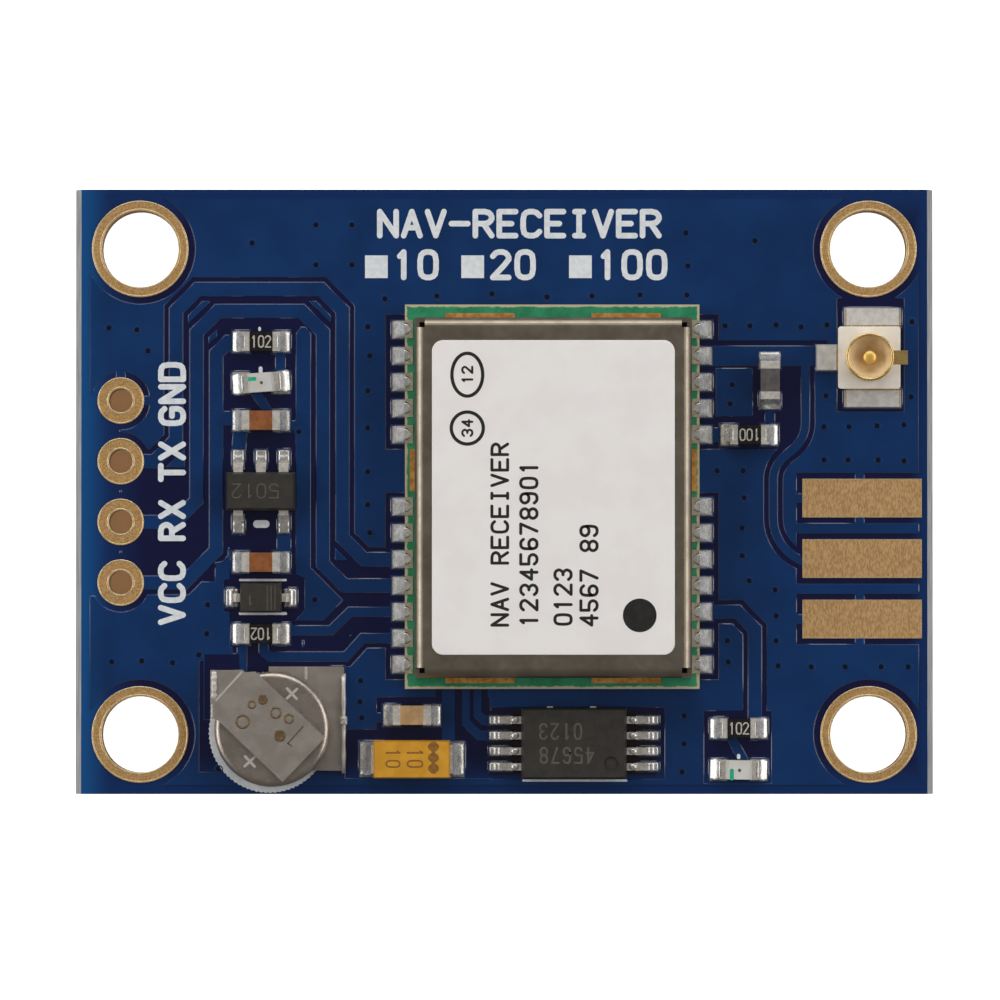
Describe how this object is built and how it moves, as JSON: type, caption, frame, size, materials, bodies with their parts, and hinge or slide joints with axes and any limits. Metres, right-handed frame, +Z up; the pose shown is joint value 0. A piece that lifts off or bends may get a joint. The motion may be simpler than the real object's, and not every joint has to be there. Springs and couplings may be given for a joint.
{
  "type": "satellite positioning receiver module",
  "caption": "Small blue circuit board with a shielded satellite positioning receiver, antenna socket, backup cell, header holes and plated corner holes.",
  "frame": {"origin": "centre of the board's outline, on the plane of the plated rings beneath it", "axes": "+X along the board's long side towards the antenna pads, +Y along its short side towards the end with the mounting holes nearest the antenna socket, +Z up out of the side with the parts"},
  "size_m": [0.036, 0.0252, 0.0041],
  "materials": {
    "laminate": "sawn and scored glass-epoxy edge",
    "copper": "etched foil",
    "mask": "glossy blue lacquer",
    "gold": "brushed gold plate",
    "solder": "bright reflowed solder",
    "carrier": "green lacquered laminate",
    "can": "satin nickel silver",
    "label": "matt printed film",
    "moulding": "fine matt moulding",
    "tin": "matt tin plate",
    "resistor": "black glaze",
    "ceramic_brown": "satin fired ceramic",
    "ceramic_tan": "satin fired ceramic",
    "ceramic_grey": "satin fired ceramic",
    "led_base": "white moulding",
    "lens": "clear resin",
    "tantalum": "yellow moulding",
    "steel": "stamped stainless sheet",
    "gasket": "black seal",
    "insulator": "natural moulding"
  },
  "bodies": {
    "root": {"printed_board": "laminate", "copper_top": "copper", "solder_mask_top": "mask", "solder_mask_bottom": "mask", "mounting_hole_platings": "gold", "header_hole_platings": "gold", "antenna_pads_top": "gold", "antenna_pads_bottom": "gold", "solder_joints": "solder", "receiver_carrier": "carrier", "receiver_castellations": "gold", "shield_ground_pads": "gold", "shield_can": "can", "receiver_label": "label", "receiver_chip": "moulding", "flash_memory": "moulding", "reference_oscillator": "can", "clock_crystal": "can", "band_filter": "resistor", "low_noise_amplifier": "moulding", "converter_inductor": "moulding", "regulator_body": "moulding", "regulator_leads": "tin", "diode_body": "moulding", "diode_leads": "tin", "memory_body": "moulding", "memory_leads": "tin", "tantalum_body": "tantalum", "tantalum_terminals": "tin", "cell_case": "steel", "cell_cap": "steel", "cell_gasket": "gasket", "cell_top_strap": "steel", "cell_base_tab": "steel", "socket_insulator": "insulator", "socket_shell": "gold", "socket_contact": "gold", "resistor_1_body": "resistor", "resistor_1_terminals": "tin", "capacitor_1_body": "ceramic_brown", "capacitor_1_terminals": "tin", "resistor_2_body": "resistor", "resistor_2_terminals": "tin", "capacitor_2_body": "ceramic_brown", "capacitor_2_terminals": "tin", "resistor_3_body": "resistor", "resistor_3_terminals": "tin", "capacitor_3_body": "ceramic_tan", "capacitor_3_terminals": "tin", "resistor_4_body": "resistor", "resistor_4_terminals": "tin", "capacitor_4_body": "ceramic_grey", "capacitor_4_terminals": "tin", "led_1_base": "led_base", "led_1_terminals": "tin", "led_1_lens": "lens", "led_2_base": "led_base", "led_2_terminals": "tin", "led_2_lens": "lens"}
  },
  "joints": []
}
